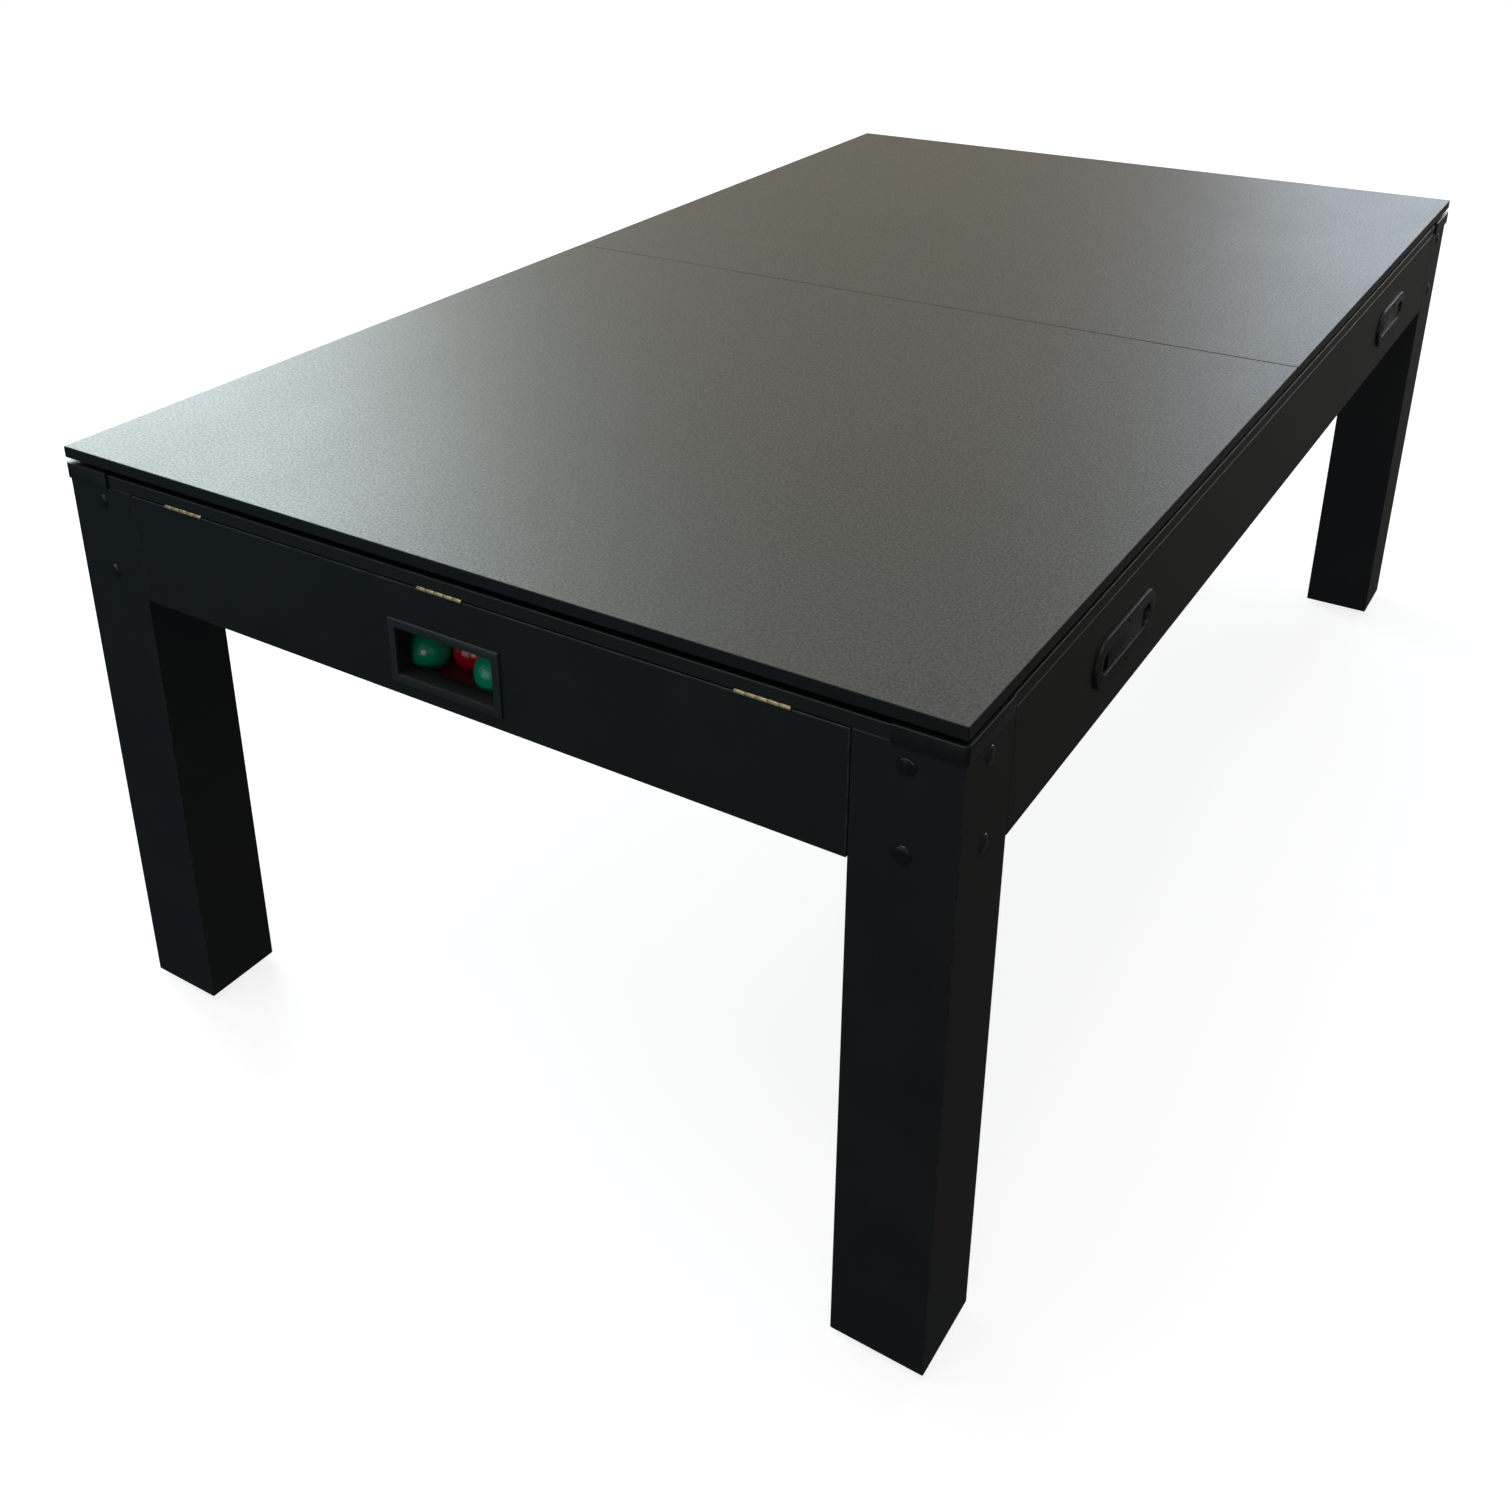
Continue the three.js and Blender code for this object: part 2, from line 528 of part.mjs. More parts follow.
{
  const { y, z, long, tall, proud } = HANDLE;
  const back = X - PAN.deep;
  const plate = new THREE.ExtrudeGeometry(stadium(y, z, long, tall), {
    depth: proud - 1.5,
    bevelEnabled: true,
    bevelThickness: 1.5,
    bevelSize: 1.5,
    bevelOffset: -1.5,
    bevelSegments: 2,
    curveSegments: 10,
  }).applyMatrix4(new THREE.Matrix4().makeBasis(
    new THREE.Vector3(0, 1, 0), new THREE.Vector3(0, 0, 1), new THREE.Vector3(1, 0, 0)));
  plate.translate(X, 0, 0);
  const behind = box([X - 10, X], [y - long, y + long], [z - tall, z + tall]);
  const pan = prismX(stadium(y, z, PAN.long + 2 * PAN.wall, PAN.tall + 2 * PAN.wall),
    [back - PAN.wall, X + 1]);
  const hollow = prismX(stadium(y, z, PAN.long, PAN.tall), [back, X + 10]);
  const rodZ = z + PAN.tall / 2 - GRIP.drop;
  const rodHalf = PAN.long / 2 - 6;
  const sockets = roundY(GRIP.rod + 0.5, GRIP.x, [y - rodHalf - 1, y + rodHalf + 1], rodZ, 12);
  const handlePlate = cut(join(cut(plate, behind), pan), hollow, sockets);

  // A flat grip that hangs from a rod along its upper edge.
  const half = GRIP.thick / 2;
  const gripSection = new THREE.Shape();
  gripSection.moveTo(GRIP.x - half, rodZ);
  gripSection.lineTo(GRIP.x - half, rodZ - GRIP.tall + 1);
  gripSection.lineTo(GRIP.x - half + 1, rodZ - GRIP.tall);
  gripSection.lineTo(GRIP.x + half - 1, rodZ - GRIP.tall);
  gripSection.lineTo(GRIP.x + half, rodZ - GRIP.tall + 1);
  gripSection.lineTo(GRIP.x + half, rodZ);
  gripSection.absarc(GRIP.x, rodZ, half, 0, Math.PI, false);
  const grip = join(
    prismY(gripSection, [y - GRIP.long / 2, y + GRIP.long / 2], 6),
    roundY(GRIP.rod - 0.2, GRIP.x, [y - rodHalf, y + rodHalf], rodZ, 12));
  for (const [end, signY] of ENDS) {
    for (const [side, signX] of SIDES) {
      add(`handle_plate_${side}_${end}`, mirrored(handlePlate, signX, signY), plastic);
      add(`handle_grip_${side}_${end}`, mirrored(grip, signX, signY), darkMetal);
    }
  }
}

export default table;
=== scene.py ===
"""Finishes and fine pieces for a convertible pool table, built round its CAD frame.

Metres, in the frame's own axes: X across the table, Y along it with the flap end at -Y, and Z up.
"""

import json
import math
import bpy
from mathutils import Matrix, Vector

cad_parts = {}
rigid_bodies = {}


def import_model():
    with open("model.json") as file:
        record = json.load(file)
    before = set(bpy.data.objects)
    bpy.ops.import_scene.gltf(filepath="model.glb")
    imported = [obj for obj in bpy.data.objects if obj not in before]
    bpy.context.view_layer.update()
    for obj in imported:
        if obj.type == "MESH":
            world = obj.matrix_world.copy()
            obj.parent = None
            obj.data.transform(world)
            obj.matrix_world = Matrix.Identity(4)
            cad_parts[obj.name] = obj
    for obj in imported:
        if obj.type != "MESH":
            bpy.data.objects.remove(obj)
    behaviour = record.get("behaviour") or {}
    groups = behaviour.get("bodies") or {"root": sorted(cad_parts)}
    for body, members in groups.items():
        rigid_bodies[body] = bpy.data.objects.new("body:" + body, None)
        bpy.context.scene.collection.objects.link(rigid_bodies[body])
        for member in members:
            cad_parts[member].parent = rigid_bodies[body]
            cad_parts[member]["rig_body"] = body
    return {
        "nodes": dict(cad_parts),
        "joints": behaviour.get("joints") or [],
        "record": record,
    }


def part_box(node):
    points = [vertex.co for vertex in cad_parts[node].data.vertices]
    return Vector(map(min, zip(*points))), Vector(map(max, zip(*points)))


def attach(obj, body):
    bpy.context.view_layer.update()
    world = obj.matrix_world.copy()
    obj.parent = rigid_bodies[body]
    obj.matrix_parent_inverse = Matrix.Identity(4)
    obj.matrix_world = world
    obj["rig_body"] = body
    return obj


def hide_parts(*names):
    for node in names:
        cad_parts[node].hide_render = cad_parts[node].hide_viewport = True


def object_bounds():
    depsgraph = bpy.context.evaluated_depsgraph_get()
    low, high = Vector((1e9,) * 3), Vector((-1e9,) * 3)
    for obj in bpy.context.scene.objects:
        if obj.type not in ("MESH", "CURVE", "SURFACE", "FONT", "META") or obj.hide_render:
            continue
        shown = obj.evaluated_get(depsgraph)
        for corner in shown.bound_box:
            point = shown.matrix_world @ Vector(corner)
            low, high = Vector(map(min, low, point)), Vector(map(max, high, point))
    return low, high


bl_info = {
    "name": "Convertible Pool Table",
    "version": (1, 0, 0),
    "blender": (4, 5, 0),
    "location": "3D View > Sidebar > Pool Table",
    "description": "Builds the finishes, hardware, cloth and stage of a convertible pool table",
    "category": "Object",
}

import bmesh
import bpy
from bpy.props import FloatProperty, FloatVectorProperty, IntProperty, PointerProperty
from mathutils import Matrix, Vector

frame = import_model()
CAD_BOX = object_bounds()

SIDES = ("left", "right")
ENDS = ("near", "far")
CORNERS = [f"{end}_{side}" for end in ENDS for side in SIDES]
PLACES = ("left", "middle", "right")
POCKETS = [f"{end}_{side}" for end in ("near", "middle", "far") for side in SIDES]


# ---- Settings ------------------------------------------------------------------------------------


def colour(name, text, value):
    return FloatVectorProperty(
        name=name, description=text, subtype="COLOR", size=3, min=0.0, max=1.0, default=value
    )


def length(name, text, value):
    return FloatProperty(name=name, description=text, default=value, min=0.0, unit="LENGTH")


def share(name, text, value):
    return FloatProperty(name=name, description=text, default=value, min=0.0, max=1.0, subtype="FACTOR")


class PoolTableColours(bpy.types.PropertyGroup):
    """The colours of each finish."""

    top_light: colour("Top, light grain", "Lighter specks of the dining top", (0.061, 0.060, 0.053))
    top_dark: colour("Top, dark grain", "Darker specks of the dining top", (0.020, 0.020, 0.018))
    band: colour("Edge band", "The strip round the edges of the dining top", (0.0045, 0.0042, 0.0046))
    body: colour("Body", "Rails, aprons, flap and legs", (0.0092, 0.0096, 0.0096))
    # This pale edge colour is partly rubbed wear and partly a painted highlight along the board edges; it
    # also tints the dust.
    wear_and_highlight: colour("Worn and highlit edge", "Where a board's edge has rubbed, with a painted highlight", (0.050, 0.052, 0.050))
    plastic: colour("Black plastic", "Guards, caps, handle plates and liners", (0.0080, 0.0085, 0.0090))
    window: colour("Window frame", "Dark grey moulding", (0.021, 0.023, 0.024))
    metal: colour("Black lacquer", "Grips and screws", (0.012, 0.013, 0.014))
    brass: colour("Brass", "Hinges", (0.60, 0.48, 0.29))
    tarnish: colour("Tarnish", "Dull patches on the hinges", (0.30, 0.22, 0.13))
    felt: colour("Felt", "Strips under the dining top", (0.010, 0.010, 0.011))
    cloth: colour("Playing cloth", "Bed and cushions", (0.006, 0.085, 0.048))
    mat: colour("Trough mat", "Felt where the balls come to rest", (0.720, 0.003, 0.022))
    board: colour("Bare board", "Fibreboard of the bed", (0.190, 0.120, 0.060))
    ball_green: colour("Green ball", "Ball in the trough", (0.002, 0.330, 0.190))
    ball_red: colour("Red ball", "Ball in the trough", (0.420, 0.003, 0.018))


class PoolTableSizes(bpy.types.PropertyGroup):
    """Sizes of the fine pieces that the frame leaves out."""

    round_board: length("Board rounding", "Rounding of a board's eased edges", 0.0004)
    round_moulding: length("Moulding rounding", "Rounding of the plastic mouldings' edges", 0.0008)
    knuckle_slim: share("Knuckle slimming", "Share taken off a hinge knuckle's radius", 0.28)
    flap_gap: length("Flap gap taken up", "How far the flap's edges move out", 0.0009)
    cap_radius: length("Bolt cap radius", "Radius of a domed cap on a leg", 0.0104)
    cap_height: length("Bolt cap height", "How far a cap stands out", 0.0021)
    cap_upper: length("Upper bolt", "Height of a leg's upper bolts above the floor", 0.756)
    cap_lower: length("Lower bolt", "Height of a leg's lower bolts above the floor", 0.660)
    screw_radius: length("Plate screw radius", "Radius of a screw head on a handle plate", 0.0034)
    hinge_screw_radius: length("Hinge screw radius", "Radius of a screw head on a hinge leaf", 0.0028)
    cloth_thick: length("Cloth thickness", "Thickness of the playing cloth", 0.0008)
    mat_wide: length("Mat width", "Flat width of the trough mat", 0.150)
    mat_deep: length("Mat depth", "Flat depth of the trough mat", 0.080)
    rim: length("Pocket rim", "Half the width of a liner's rolled rim", 0.0032)
    ball_steps: IntProperty(
        name="Ball steps", description="Times a ball's faces are split", default=5, min=2, max=6
    )


class PoolTableStage(bpy.types.PropertyGroup):
    """The floor, the lights and the camera."""

    floor_size: length("Floor size", "Side of the square floor", 60.0)
    floor_glow: share("Floor glow", "How bright the floor stays in shadow", 0.84)
    floor_albedo: share("Floor albedo", "How much light the floor scatters", 0.24)
    overhead: FloatProperty(
        name="Overhead light", description="Strength of the soft light above", default=1.6, min=0.0
    )
    lens: FloatProperty(name="Lens", description="Focal length", default=38.885, min=10.0, unit="CAMERA")


# ---- Node building -------------------------------------------------------------------------------


class Value:
    """An output socket that arithmetic can be written with."""

    def __init__(self, nodes, socket):
        self.nodes = nodes
        self.socket = socket

    def math(self, operation, *others):
        return self.nodes.add("ShaderNodeMath", {"operation": operation}, dict(enumerate((self, *others))))

    def turned(self, operation, other):
        return self.nodes.add("ShaderNodeMath", {"operation": operation}, {0: other, 1: self})

    def __add__(self, other):
        return self.math("ADD", other)

    def __radd__(self, other):
        return self.turned("ADD", other)

    def __sub__(self, other):
        return self.math("SUBTRACT", other)

    def __rsub__(self, other):
        return self.turned("SUBTRACT", other)

    def __mul__(self, other):
        return self.math("MULTIPLY", other)

    def __rmul__(self, other):
        return self.turned("MULTIPLY", other)

    def lesser(self, other):
        return self.math("MINIMUM", other)

    def greater(self, other):
        return self.math("MAXIMUM", other)

    def sine(self):
        return self.math("SINE")

    def step(self, start, end):
        """0 before start and 1 after end, turning smoothly between them."""
        return self.nodes.add(
            "ShaderNodeMapRange",
            {"interpolation_type": "SMOOTHSTEP"},
            {"Value": self, "From Min": start, "From Max": end},
        )


class Nodes:
    """Adds nodes to a tree."""

    def __init__(self, tree):
        self.tree = tree
        tree.nodes.clear()

    def add(self, kind, settings=None, values=None, output=0):
        """A node with its settings made first, then its sockets' values or links."""
        node = self.tree.nodes.new(kind)
        for name, setting in (settings or {}).items():
            setattr(node, name, setting)
        for key, value in (values or {}).items():
            if isinstance(value, Value):
                self.tree.links.new(value.socket, node.inputs[key])
            else:
                node.inputs[key].default_value = value
        return Value(self, node.outputs[output]) if node.outputs else node

    def place(self):
        return self.add("ShaderNodeTexCoord", output="Object")

    def parts(self, vector):
        first = self.add("ShaderNodeSeparateXYZ", values={0: vector})
        return [Value(self, first.socket.node.outputs[axis]) for axis in range(3)]

    def noise(self, vector, scale, detail=2.0, roughness=0.5, stretch=None):
        if stretch:
            vector = self.add("ShaderNodeMapping", values={"Vector": vector, "Scale": stretch})
        return self.add(
            "ShaderNodeTexNoise",
            values={"Vector": vector, "Scale": scale, "Detail": detail, "Roughness": roughness},
        )

    def blend(self, factor, first, second):
        """A colour from first at 0 to second at 1."""
        mixed = {0: factor, 6: rgba(first), 7: rgba(second)}
        return self.add("ShaderNodeMix", {"data_type": "RGBA"}, mixed, output=2)

    def bump(self, height, strength, distance):
        values = {"Height": height, "Strength": strength, "Distance": distance}
        return self.add("ShaderNodeBump", values=values)

    def upward(self):
        """1 where the surface faces up."""
        return self.parts(self.add("ShaderNodeNewGeometry", output="Normal"))[2].step(0.75, 0.95)

    def edge(self, vector, box):
        """How far a point on a box's surface is from its nearest edge."""
        low, high = box
        near = [(p - a).lesser(b - p) for p, a, b in zip(self.parts(vector), low, high)]
        return near[0].lesser(near[1]).greater(near[0].greater(near[1]).lesser(near[2]))

    def finish(self, **values):
        """Ends a material in one shader. A socket's name is written with underscores for spaces."""
        named = {name.replace("_", " "): value for name, value in values.items()}
        shader = self.add("ShaderNodeBsdfPrincipled", values=named)
        self.add("ShaderNodeOutputMaterial", values={"Surface": shader})


def rgba(value):
    return value if isinstance(value, Value) else (*value, 1.0)


def scaled(value, factor):
    """A colour made lighter or darker by a factor."""
    return tuple(min(1.0, part * factor) for part in value)


def start_material(name):
    material = bpy.data.materials.new(name)
    material.use_nodes = True
    return material, Nodes(material.node_tree)


# ---- Finishes ------------------------------------------------------------------------------------


def top_melamine(colours):
    """Charcoal melamine with a pebbled grain, and a plain black band round the edge."""
    material, nodes = start_material("top_melamine")
    place = nodes.place()
    pebble = nodes.noise(place, 290.0, 3.0, 0.62)
    fine = nodes.noise(place, 1100.0, 2.0)
    cloud = nodes.noise(place, 2.6, 3.0, 0.6)
    smear = nodes.noise(place, 16.0, 4.0, 0.6, (1.0, 0.25, 1.0))
    grain = (pebble * 0.65 + fine * 0.35).step(0.40, 0.60)
    face = nodes.blend(grain, colours.top_dark, colours.top_light)
    up = nodes.upward()
    nodes.finish(
        Base_Color=nodes.blend(up, colours.band, face),
        Roughness=0.435 - grain * 0.07 + cloud * 0.06 + smear * 0.05,
        Normal=nodes.bump(pebble * 0.7 + fine * 0.3, 0.55, 0.0005),
    )
    return material


def body_melamine(colours, node):
    """Near-black melamine: a soft pebble, faint dust and handling marks, and a pale line along the edges that
    is partly rubbed wear and partly a painted highlight.
    """
    material, nodes = start_material(f"body_melamine_{node}")
    place = nodes.place()
    pebble = nodes.noise(place, 620.0, 3.0, 0.55)
    cloud = nodes.noise(place, 7.0, 4.0, 0.6)
    dust = nodes.noise(place, 1500.0, 1.0).step(0.66, 0.74) * cloud.step(0.5, 0.7)
    rub = nodes.noise(place, 45.0, 5.0, 0.7).step(0.40, 0.62)
    # Pale line along each edge: partly rubbed wear, partly a painted highlight where the eased edge would
    # catch the light.
    wear_and_highlight = (1.0 - nodes.edge(place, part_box(node)).step(0.0003, 0.0016)) * (rub * 0.6 + 0.2)
    base = nodes.blend(cloud.step(0.3, 0.7), scaled(colours.body, 0.85), scaled(colours.body, 1.15))
    dusty = nodes.blend(dust * 0.35, base, colours.wear_and_highlight)
    nodes.finish(
        Base_Color=nodes.blend(wear_and_highlight, dusty, colours.wear_and_highlight),
        Roughness=0.40 + cloud * 0.08 + pebble * 0.06 + dust * 0.1,
        Normal=nodes.bump(pebble, 0.18, 0.0003),
    )
    return material


def moulded(name, base, roughness, grain_scale=1700.0):
    """Moulded plastic with a fine spark-eroded texture and faint scuffs."""
    material, nodes = start_material(name)
    place = nodes.place()
    grain = nodes.noise(place, grain_scale, 2.0, 0.6)
    scuff = nodes.noise(place, 70.0, 5.0, 0.7, (1.0, 1.0, 0.2)).step(0.58, 0.74)
    nodes.finish(
        Base_Color=nodes.blend(scuff * 0.5 + grain * 0.2, base, scaled(base, 2.2)),
        Roughness=roughness + grain * 0.08 + scuff * 0.12,
        Normal=nodes.bump(grain, 0.22, 0.00015),
    )
    return material


def window_plastic(colours, front):
    """Dark grey moulding. The sleeve behind the flap's front, at y = front, is painted near-black and duller
    as painted shade, since it lies unlit.
    """
    material, nodes = start_material("window_plastic")
    place = nodes.place()
    grain = nodes.noise(place, 1500.0, 2.0, 0.6)
    scuff = nodes.noise(place, 90.0, 5.0, 0.7).step(0.56, 0.74)
    # Painted shade: past the flap's front, the sleeve inside the window is painted near-black.
    sleeve = nodes.parts(place)[1].step(front - 0.0008, front + 0.0012)
    face = nodes.blend(scuff * 0.4 + grain * 0.2, colours.window, scaled(colours.window, 2.0))
    nodes.finish(
        Base_Color=nodes.blend(sleeve, face, scaled(colours.plastic, 0.2)),
        Roughness=0.38 + grain * 0.08 + sleeve * 0.4,
        Normal=nodes.bump(grain, 0.22, 0.00015),
    )
    return material


def lacquered(colours):
    """Black lacquer over steel, a little pitted."""
    material, nodes = start_material("black_lacquer")
    place = nodes.place()
    pits = nodes.noise(place, 900.0, 3.0, 0.6)
    rub = nodes.noise(place, 120.0, 5.0, 0.7).step(0.6, 0.75)
    nodes.finish(
        Base_Color=nodes.blend(rub, colours.metal, scaled(colours.metal, 4.0)),
        Metallic=0.35 + rub * 0.4,
        Roughness=0.34 + pits * 0.1,
        Normal=nodes.bump(pits, 0.15, 0.0001),
    )
    return material


def dull_brass(colours):
    """Brass plating, brushed along the hinge, with brown tarnish in patches."""
    material, nodes = start_material("dull_brass")
    place = nodes.place()
    brush = nodes.noise(place, 1800.0, 2.0, 0.5, (0.06, 1.0, 1.0))
    patch = nodes.noise(place, 420.0, 4.0, 0.65).step(0.45, 0.75)
    nodes.finish(
        Base_Color=nodes.blend(patch * 0.7 + brush * 0.2, colours.brass, colours.tarnish),
        Metallic=0.85 - patch * 0.3,
        Roughness=0.42 + patch * 0.2 + brush * 0.08,
        Normal=nodes.bump(brush, 0.2, 0.0001),
    )
    return material


def fuzzy(name, base, sheen):
    """Pressed felt: matted fibres and a soft sheen."""
    material, nodes = start_material(name)
    place = nodes.place()
    fibre = nodes.noise(place, 1600.0, 4.0, 0.7)
    tuft = nodes.noise(place, 260.0, 3.0, 0.6)
    nodes.finish(
        Base_Color=nodes.blend(fibre * 0.6 + tuft * 0.4, scaled(base, 0.55), scaled(base, 1.5)),
        Roughness=0.9 + tuft * 0.08,
        Sheen_Weight=sheen,
        Sheen_Roughness=0.6,
        Normal=nodes.bump(fibre * 0.5 + tuft * 0.5, 0.6, 0.0006),
    )
    return material


def playing_cloth(colours):
    """Woven wool with a short nap: crossing threads under fine fibres."""
    material, nodes = start_material("playing_cloth")
    place = nodes.place()
    pitch = 0.0009
    thread = 2 * math.pi / pitch
    x, y, z = nodes.parts(place)
    weave = (x * thread).sine() * (y * thread).sine() + (z * thread).sine() * 0.4
    nap = nodes.noise(place, 1300.0, 3.0, 0.65)
    shade = nodes.noise(place, 9.0, 3.0, 0.55)
    tone = weave * 0.12 + nap * 0.6 + shade * 0.3
    nodes.finish(
        Base_Color=nodes.blend(tone, scaled(colours.cloth, 0.6), scaled(colours.cloth, 1.45)),
        Roughness=0.88 + nap * 0.1,
        Sheen_Weight=0.25,
        Sheen_Roughness=0.5,
        Normal=nodes.bump(weave * 0.3 + nap * 0.7, 0.5, 0.0004),
    )
    return material


def bare_board(colours):
    """Sawn fibreboard: short fibres and darker flecks."""
    material, nodes = start_material("bare_board")
    place = nodes.place()
    fibre = nodes.noise(place, 700.0, 4.0, 0.7, (1.0, 0.35, 1.0))
    fleck = nodes.noise(place, 240.0, 2.0).step(0.62, 0.72)
    cloud = nodes.noise(place, 6.0, 3.0)
    base = nodes.blend(fibre * 0.7 + cloud * 0.3, scaled(colours.board, 0.7), scaled(colours.board, 1.35))
    nodes.finish(
        Base_Color=nodes.blend(fleck * 0.5, base, scaled(colours.board, 0.4)),
        Roughness=0.8 + fibre * 0.15,
        Normal=nodes.bump(fibre, 0.4, 0.0004),
    )
    return material


def polished_ball(name, base):
    """Cast resin, polished, with chalk dust and faint table burn."""
    material, nodes = start_material(name)
    place = nodes.place()
    chalk = nodes.noise(place, 90.0, 5.0, 0.7).step(0.55, 0.8)
    cloud = nodes.noise(place, 30.0, 3.0)
    nodes.finish(
        Base_Color=nodes.blend(chalk * 0.12 + cloud * 0.1, base, scaled(base, 1.8)),
        Roughness=0.14 + chalk * 0.2 + cloud * 0.05,
        Coat_Weight=0.4,
        Normal=nodes.bump(chalk, 0.03, 0.0001),
    )
    return material


# ---- Mesh building -------------------------------------------------------------------------------


def new_object(name, mesh):
    made = bpy.data.objects.new(name, mesh)
    bpy.context.scene.collection.objects.link(made)
    return made


def from_bmesh(name, shape, material, smooth=True):
    mesh = bpy.data.meshes.new(name)
    shape.to_mesh(mesh)
    shape.free()
    mesh.materials.append(material)
    mesh.polygons.foreach_set("use_smooth", [smooth] * len(mesh.polygons))
    return new_object(name, mesh)


def merged_copy(node):
    """A CAD node's shape as one closed mesh, with its flat faces whole."""
    shape = bmesh.new()
    shape.from_mesh(frame["nodes"][node].data)
    bmesh.ops.remove_doubles(shape, verts=shape.verts, dist=1e-5)
    bmesh.ops.dissolve_limit(
        shape, angle_limit=math.radians(0.5), verts=shape.verts[:], edges=shape.edges[:]
    )
    return shape


def rounded(piece, width, segments=2, angle=30.0, smooth=True):
    bevel = piece.modifiers.new("Rounding", "BEVEL")
    bevel.width = width
    bevel.segments = segments
    bevel.limit_method = "ANGLE"
    bevel.angle_limit = math.radians(angle)
    bevel.harden_normals = smooth
    bevel.use_clamp_overlap = True
    return piece


def settle(piece, body, slot, *nodes):
    """Puts a finished piece on its body, in place of the CAD nodes that it stands for."""
    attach(piece, body)
    if nodes:
        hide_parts(*nodes)
    return piece


def body_of(node):
    return frame["nodes"][node]["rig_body"]


def slot_of(node):
    rows = frame["record"]["subparts"]
    return next(row["material_slot"] for row in rows if row["node"] == node)


def refine(node, material, width, segments=2, angle=30.0, smooth=True):
    """Replaces a CAD node with the same shape, its edges rounded to catch the light."""
    piece = from_bmesh(f"{node}_made", merged_copy(node), material, smooth)
    rounded(piece, width, segments, angle, smooth)
    return settle(piece, body_of(node), slot_of(node), node)


def paint(node, material):
    """Gives a CAD node that stays on show its finish."""
    for place in frame["nodes"][node].material_slots:
        place.material = material


# ---- Geometry Nodes ------------------------------------------------------------------------------


def open_tree(name, inputs):
    """A geometry tree with named inputs. Returns the tree, its nodes and its inputs as values."""
    tree = bpy.data.node_groups.new(name, "GeometryNodeTree")
    nodes = Nodes(tree)
    tree.interface.new_socket("Geometry", in_out="OUTPUT", socket_type="NodeSocketGeometry")
    for label, kind in (("Geometry", "Geometry"), *inputs, ("Finish", "Material")):
        tree.interface.new_socket(label, in_out="INPUT", socket_type=f"NodeSocket{kind}")
    source = tree.nodes.new("NodeGroupInput")
    given = {socket.name: Value(nodes, socket) for socket in source.outputs if socket.name}
    return tree, nodes, given


def close_tree(nodes, instances, given):
    real = nodes.add("GeometryNodeRealizeInstances", values={"Geometry": instances})
    painted = nodes.add("GeometryNodeSetMaterial", values={"Geometry": real, "Material": given["Finish"]})
    nodes.add("NodeGroupOutput", values={0: painted})


def facing_points(nodes, given, shape):
    """A copy of shape on each point, with its Z along the point's facing attribute."""
    facing = nodes.add(
        "GeometryNodeInputNamedAttribute", {"data_type": "FLOAT_VECTOR"}, {"Name": "facing"}
    )
    turn = nodes.add("FunctionNodeAlignRotationToVector", {"axis": "Z"}, {"Vector": facing})
    return nodes.add(
        "GeometryNodeInstanceOnPoints",
        values={"Points": given["Geometry"], "Instance": shape, "Rotation": turn},
    )


def dome(nodes, radius, height, segments):
    """A flattened ball, as wide as radius each way and as high as height."""
    ball = nodes.add(
        "GeometryNodeMeshUVSphere", values={"Segments": segments, "Rings": segments // 2, "Radius": 1.0}
    )
    size = nodes.add("ShaderNodeCombineXYZ", values={0: radius, 1: radius, 2: height})
    squat = nodes.add("GeometryNodeTransform", values={"Geometry": ball, "Scale": size})
    return nodes.add("GeometryNodeSetShadeSmooth", values={"Geometry": squat, "Shade Smooth": True})


def join(nodes, *shapes):
    joined = nodes.tree.nodes.new("GeometryNodeJoinGeometry")
    for shape in shapes:
        nodes.tree.links.new(shape.socket, joined.inputs[0])
    return Value(nodes, joined.outputs[0])


def cap_tree():
    """Domed bolt caps: a thin chamfered brim under a shallow dome."""
    tree, nodes, given = open_tree("bolt_caps", (("Radius", "Float"), ("Height", "Float"), ("Brim", "Float")))
    brim = nodes.add(
        "GeometryNodeMeshCone",
        values={
            "Vertices": 40,
            "Radius Top": given["Radius"] - given["Brim"] * 0.5,
            "Radius Bottom": given["Radius"],
            "Depth": given["Brim"],
        },
    )
    top = dome(nodes, given["Radius"] - given["Brim"] * 0.7, given["Height"], 40)
    close_tree(nodes, facing_points(nodes, given, join(nodes, brim, top)), given)
    return tree


def screw_tree():
    """Screw heads with a cross cut into a shallow dome."""
    tree, nodes, given = open_tree("screw_heads", (("Radius", "Float"), ("Height", "Float")))
    head = dome(nodes, given["Radius"], given["Height"], 24)
    wide = given["Radius"] * 0.24
    long = given["Radius"] * 1.25
    lift = nodes.add("ShaderNodeCombineXYZ", values={2: given["Height"]})
    slots = []
    for across, along in ((wide, long), (long, wide)):
        size = nodes.add("ShaderNodeCombineXYZ", values={0: across, 1: along, 2: given["Height"] * 1.1})
        cube = nodes.add("GeometryNodeMeshCube", values={"Size": size})
        slots.append(nodes.add("GeometryNodeTransform", values={"Geometry": cube, "Translation": lift}))
    cut = nodes.add("GeometryNodeMeshBoolean", {"operation": "DIFFERENCE"}, {"Mesh 1": head})
    for slot in slots:
        nodes.tree.links.new(slot.socket, cut.socket.node.inputs["Mesh 2"])
    close_tree(nodes, facing_points(nodes, given, cut), given)
    return tree


